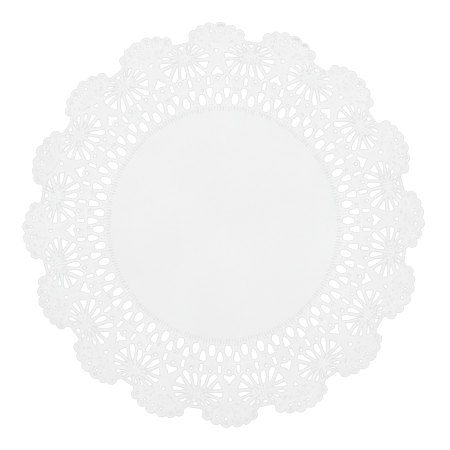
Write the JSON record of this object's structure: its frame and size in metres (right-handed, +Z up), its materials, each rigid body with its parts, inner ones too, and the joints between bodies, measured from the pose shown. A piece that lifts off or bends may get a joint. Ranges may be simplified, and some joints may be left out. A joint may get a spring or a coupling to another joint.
{
  "type": "paper doily",
  "caption": "Round white paper lace doily, die-cut and embossed, with a plain centre and a scalloped border. It lies flat under a cake, plate or vase.",
  "frame": {"origin": "Middle of the sheet's underside, on the surface that it lies on.", "axes": "+Z is up, square to the sheet, out of its embossed face. +Y runs from the middle through the middle of one of the shells round the edge. +X completes the right-handed frame."},
  "size_m": [0.2538, 0.2538, 0.0006],
  "materials": {
    "paper": "matte white uncoated paper, embossed"
  },
  "bodies": {
    "root": {"doily_sheet": "paper"}
  },
  "joints": []
}
